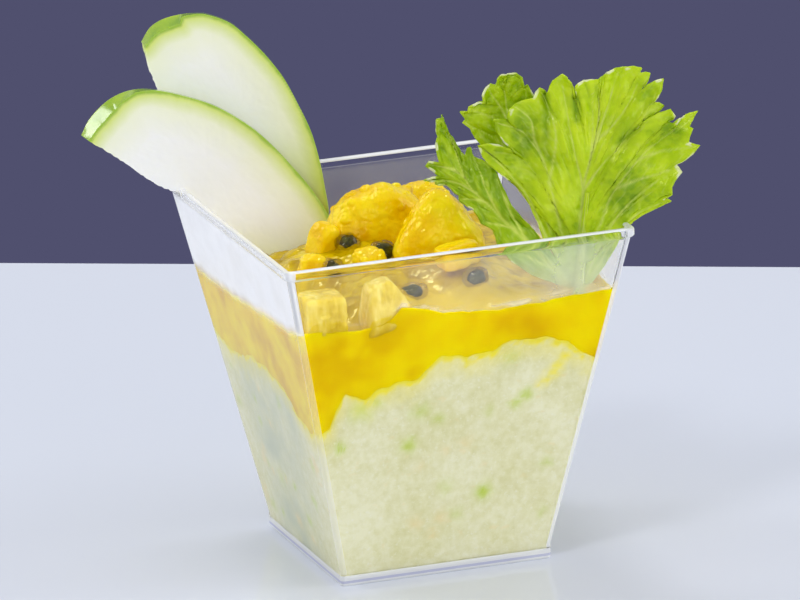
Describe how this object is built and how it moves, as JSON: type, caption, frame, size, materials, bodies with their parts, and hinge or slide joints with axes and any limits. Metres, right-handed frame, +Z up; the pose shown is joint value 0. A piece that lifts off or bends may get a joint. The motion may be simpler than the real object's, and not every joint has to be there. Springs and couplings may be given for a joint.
{
  "type": "verrine",
  "caption": "Square tapered clear tumbler of pale granita under a yellow fruit coulis, topped with mango chunks, apple slices and a celery leaf sprig.",
  "frame": {"origin": "middle of the tumbler's foot, on the table", "axes": "+Z up along the tumbler's axis, -Y is the tumbler's front face, +X to the right of it; the apple slices lean over the rear left corner and the sprig stands at the front right"},
  "size_m": [0.1004, 0.0762, 0.0977],
  "materials": {
    "clear_plastic": "clear, polished, moulded",
    "granita": "wet ice crystals",
    "coulis": "wet and shiny",
    "mango": "wet fruit flesh",
    "pineapple": "wet fruit flesh",
    "apple": "fresh cut flesh with green skin",
    "celery": "fresh leaf, slightly waxy"
  },
  "bodies": {
    "root": {"cup": "clear_plastic", "granita": "granita", "coulis": "coulis", "mango_chunk_left": "mango", "mango_chunk_rear": "mango", "mango_chunk_front": "mango", "mango_dice_left": "mango", "mango_dice_corner": "mango", "mango_dice_middle": "mango", "mango_strip_front": "mango", "pineapple_cube": "pineapple", "pineapple_wedge": "pineapple", "apple_slice_front": "apple", "apple_slice_rear": "apple", "celery_sprig": "celery"}
  },
  "joints": []
}
